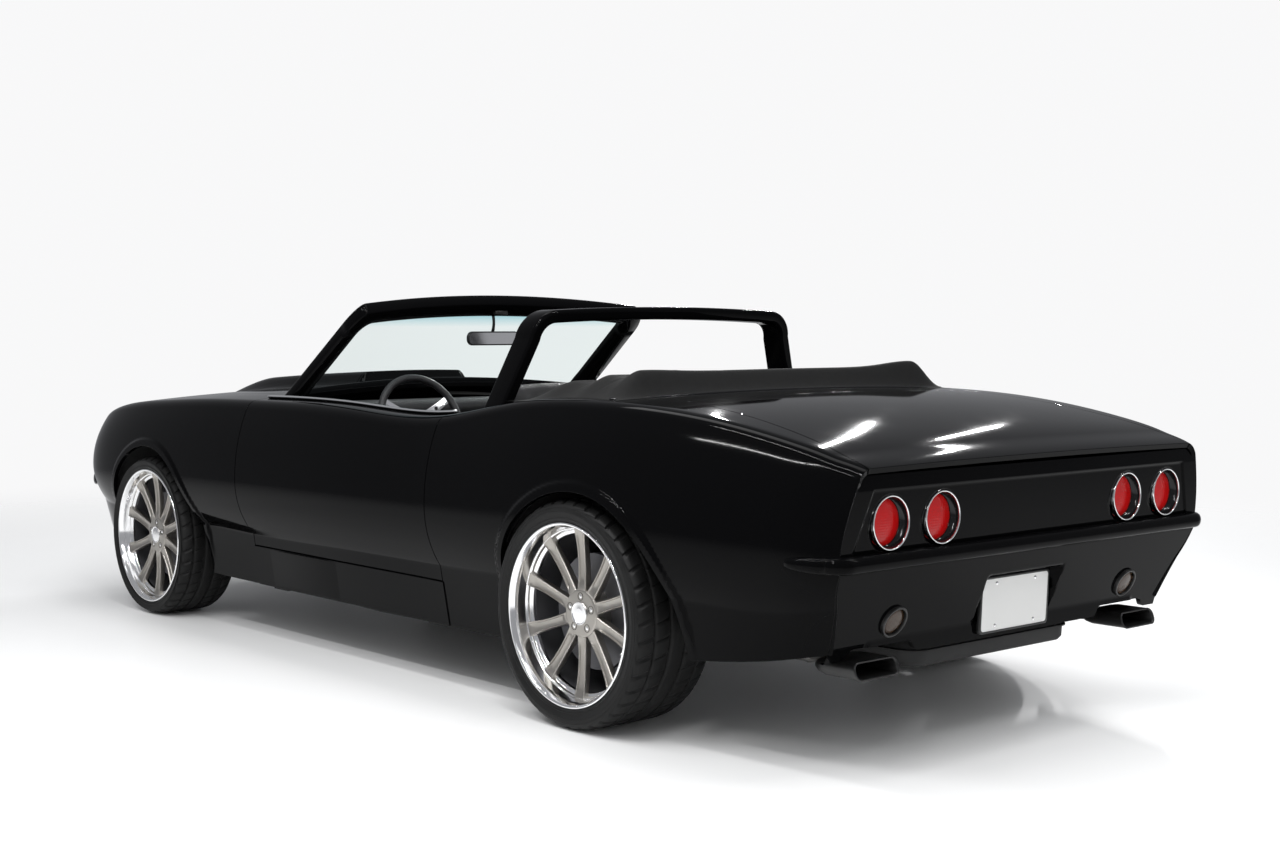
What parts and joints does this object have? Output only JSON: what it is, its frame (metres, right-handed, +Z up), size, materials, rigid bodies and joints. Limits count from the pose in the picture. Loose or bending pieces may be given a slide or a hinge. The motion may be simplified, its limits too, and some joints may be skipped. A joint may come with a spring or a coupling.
{
  "type": "open muscle car",
  "caption": "Low open two-door muscle car with a roll hoop behind the front seats, a folded roof under a fabric boot, a raised hood centre and wide deep-lipped spoked wheels.",
  "frame": {"origin": "on the ground below the middle of the car", "axes": "+X points to the front of the car, +Y to its left, +Z up"},
  "size_m": [4.692, 1.856, 1.2725],
  "materials": {
    "paint": "high gloss",
    "bright_trim": "polished",
    "black_metal": "satin",
    "lamp_glass": "clear",
    "screen_glass": "clear",
    "iron": "cast",
    "tyre": "matt",
    "nickel": "satin",
    "trim": "fine grain",
    "leather": "fine grain",
    "cloth": "canvas"
  },
  "bodies": {
    "body": {"front_fender_left": "paint", "front_fender_right": "paint", "quarter_left": "paint", "quarter_right": "paint", "cowl_panel": "paint", "deck_panel": "paint", "tail_panel": "paint", "rear_valance": "paint", "rear_bumper": "paint", "front_bumper": "paint", "nose_panel": "paint", "front_valance": "paint", "windshield_frame": "paint", "roll_hoop": "paint", "tail_lamps": "bright_trim", "grille": "black_metal", "underbody": "black_metal", "front_wheelhouses": "black_metal", "rear_wheelhouses": "black_metal", "front_frame": "black_metal", "fuel_tank": "black_metal", "exhaust": "black_metal", "rear_axle": "black_metal", "headlamps": "lamp_glass", "windshield_glass": "screen_glass", "engine": "iron", "dashboard": "trim", "steering_column": "trim", "rear_view_mirror": "trim", "seat_left": "leather", "seat_right": "leather", "rear_seat": "leather", "boot_cover": "cloth"},
    "hood": {"hood": "paint"},
    "trunk_lid": {"trunk_lid": "paint"},
    "door_left": {"door_left": "paint"},
    "door_right": {"door_right": "paint"},
    "steering_wheel": {"steering_wheel": "trim"},
    "knuckle_left": {"knuckle_left": "black_metal"},
    "knuckle_right": {"knuckle_right": "black_metal"},
    "wheel_front_left": {"tyre_front_left": "tyre", "rim_front_left": "nickel"},
    "wheel_front_right": {"tyre_front_right": "tyre", "rim_front_right": "nickel"},
    "wheel_rear_left": {"tyre_rear_left": "tyre", "rim_rear_left": "nickel"},
    "wheel_rear_right": {"tyre_rear_right": "tyre", "rim_rear_right": "nickel"}
  },
  "joints": [
    {"name": "hood_hinge", "type": "hinge", "parent": "body", "child": "hood", "pos_m": [0.8, 0, 0.962], "axis": [0, -1, 0], "range_deg": [0, 55]},
    {"name": "trunk_lid_hinge", "type": "hinge", "parent": "body", "child": "trunk_lid", "pos_m": [-1.557, 0, 0.972], "axis": [0, 1, 0], "range_deg": [0, 60]},
    {"name": "door_left_hinge", "type": "hinge", "parent": "body", "child": "door_left", "pos_m": [0.6395, 0.91, 0.6], "axis": [0, 0, -1], "range_deg": [0, 66]},
    {"name": "door_right_hinge", "type": "hinge", "parent": "body", "child": "door_right", "pos_m": [0.6395, -0.91, 0.6], "axis": [0, 0, 1], "range_deg": [0, 66]},
    {"name": "steer_left", "type": "hinge", "parent": "body", "child": "knuckle_left", "pos_m": [1.415, 0.716, 0.32], "axis": [0, 0, 1], "range_deg": [-30, 30]},
    {"name": "steer_right", "type": "hinge", "parent": "body", "child": "knuckle_right", "pos_m": [1.415, -0.716, 0.32], "axis": [0, 0, 1], "range_deg": [-30, 30]},
    {"name": "steering_turn", "type": "hinge", "parent": "body", "child": "steering_wheel", "pos_m": [0.19, 0.37, 0.82], "axis": [-0.9272, 0, 0.3746], "range_deg": [-360, 360]},
    {"name": "wheel_front_left_spin", "type": "hinge", "parent": "knuckle_left", "child": "wheel_front_left", "pos_m": [1.415, 0.8, 0.32], "axis": [0, 1, 0], "continuous": true},
    {"name": "wheel_front_right_spin", "type": "hinge", "parent": "knuckle_right", "child": "wheel_front_right", "pos_m": [1.415, -0.8, 0.32], "axis": [0, 1, 0], "continuous": true},
    {"name": "wheel_rear_left_spin", "type": "hinge", "parent": "body", "child": "wheel_rear_left", "pos_m": [-1.331, 0.78, 0.336], "axis": [0, 1, 0], "continuous": true},
    {"name": "wheel_rear_right_spin", "type": "hinge", "parent": "body", "child": "wheel_rear_right", "pos_m": [-1.331, -0.78, 0.336], "axis": [0, 1, 0], "continuous": true}
  ],
  "couplings": [
    {"joint": "steer_right", "follows": "steer_left", "ratio": 1},
    {"joint": "steering_turn", "follows": "steer_left", "ratio": 12}
  ]
}
